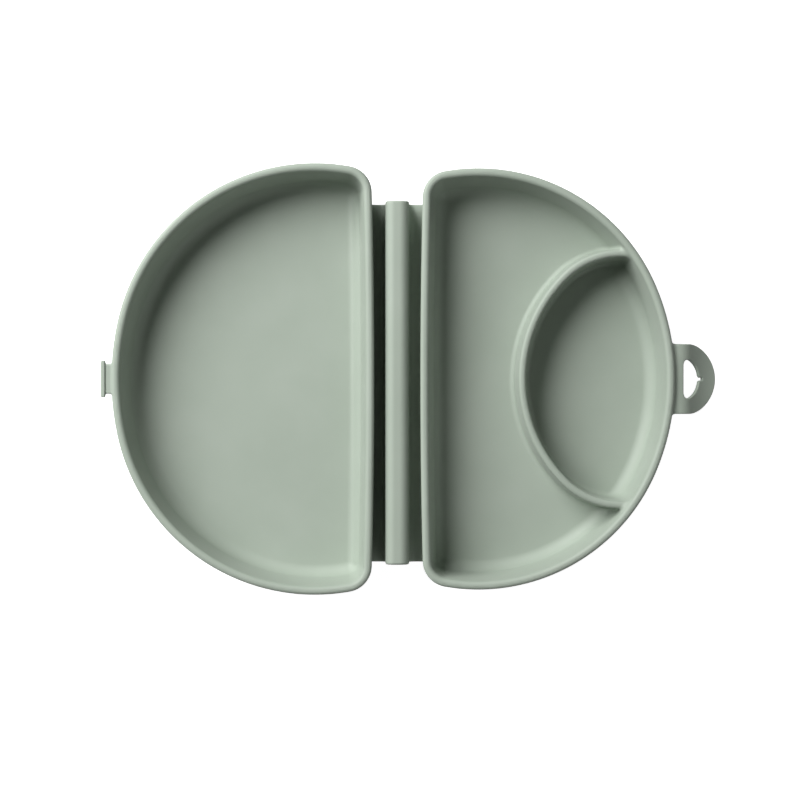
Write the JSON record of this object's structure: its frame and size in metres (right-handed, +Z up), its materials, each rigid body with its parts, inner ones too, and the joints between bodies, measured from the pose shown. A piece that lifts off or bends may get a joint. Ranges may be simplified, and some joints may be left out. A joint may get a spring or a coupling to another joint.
{
  "type": "suction bowl",
  "caption": "Folding silicone suction bowl opened flat: an open half and a divided half joined by a soft ridged spine, with a loop strap that latches over a stud.",
  "frame": {"origin": "on the table, under the middle of the opened bowl's overall box; the hinge line is 5.5 mm to -X of it", "axes": "+X from the open half across the hinge to the divided half, +Y along the hinge, +Z up out of the bowls"},
  "size_m": [0.2782, 0.1946, 0.031],
  "materials": {
    "silicone": "soft matte sage green moulded silicone"
  },
  "bodies": {
    "divided_bowl": {"divided_bowl_shell": "silicone", "portion_divider": "silicone", "hinge_right_leg": "silicone", "strap_anchor": "silicone", "suction_cup_right_front": "silicone", "suction_cup_right_back": "silicone"},
    "hinge_spine": {"hinge_ridge": "silicone"},
    "open_bowl": {"open_bowl_shell": "silicone", "hinge_left_leg": "silicone", "latch_stud": "silicone", "suction_cup_left_front": "silicone", "suction_cup_left_back": "silicone"},
    "strap_loop": {"latch_strap": "silicone"}
  },
  "joints": [
    {"name": "spine_fold", "type": "hinge", "parent": "divided_bowl", "child": "hinge_spine", "pos_m": [-0.00162, 0, 0.02723], "axis": [0, 1, 0], "range_deg": [0, 90]},
    {"name": "lid_fold", "type": "hinge", "parent": "hinge_spine", "child": "open_bowl", "pos_m": [-0.00947, 0, 0.02723], "axis": [0, 1, 0], "range_deg": [0, 90]},
    {"name": "strap_bend", "type": "hinge", "parent": "divided_bowl", "child": "strap_loop", "pos_m": [0.12466, 0, 0.0276], "axis": [0, -1, 0], "range_deg": [-35, 124], "stiffness_Nm_per_rad": 0.004}
  ],
  "couplings": [
    {"joint": "lid_fold", "follows": "spine_fold", "ratio": 1}
  ]
}
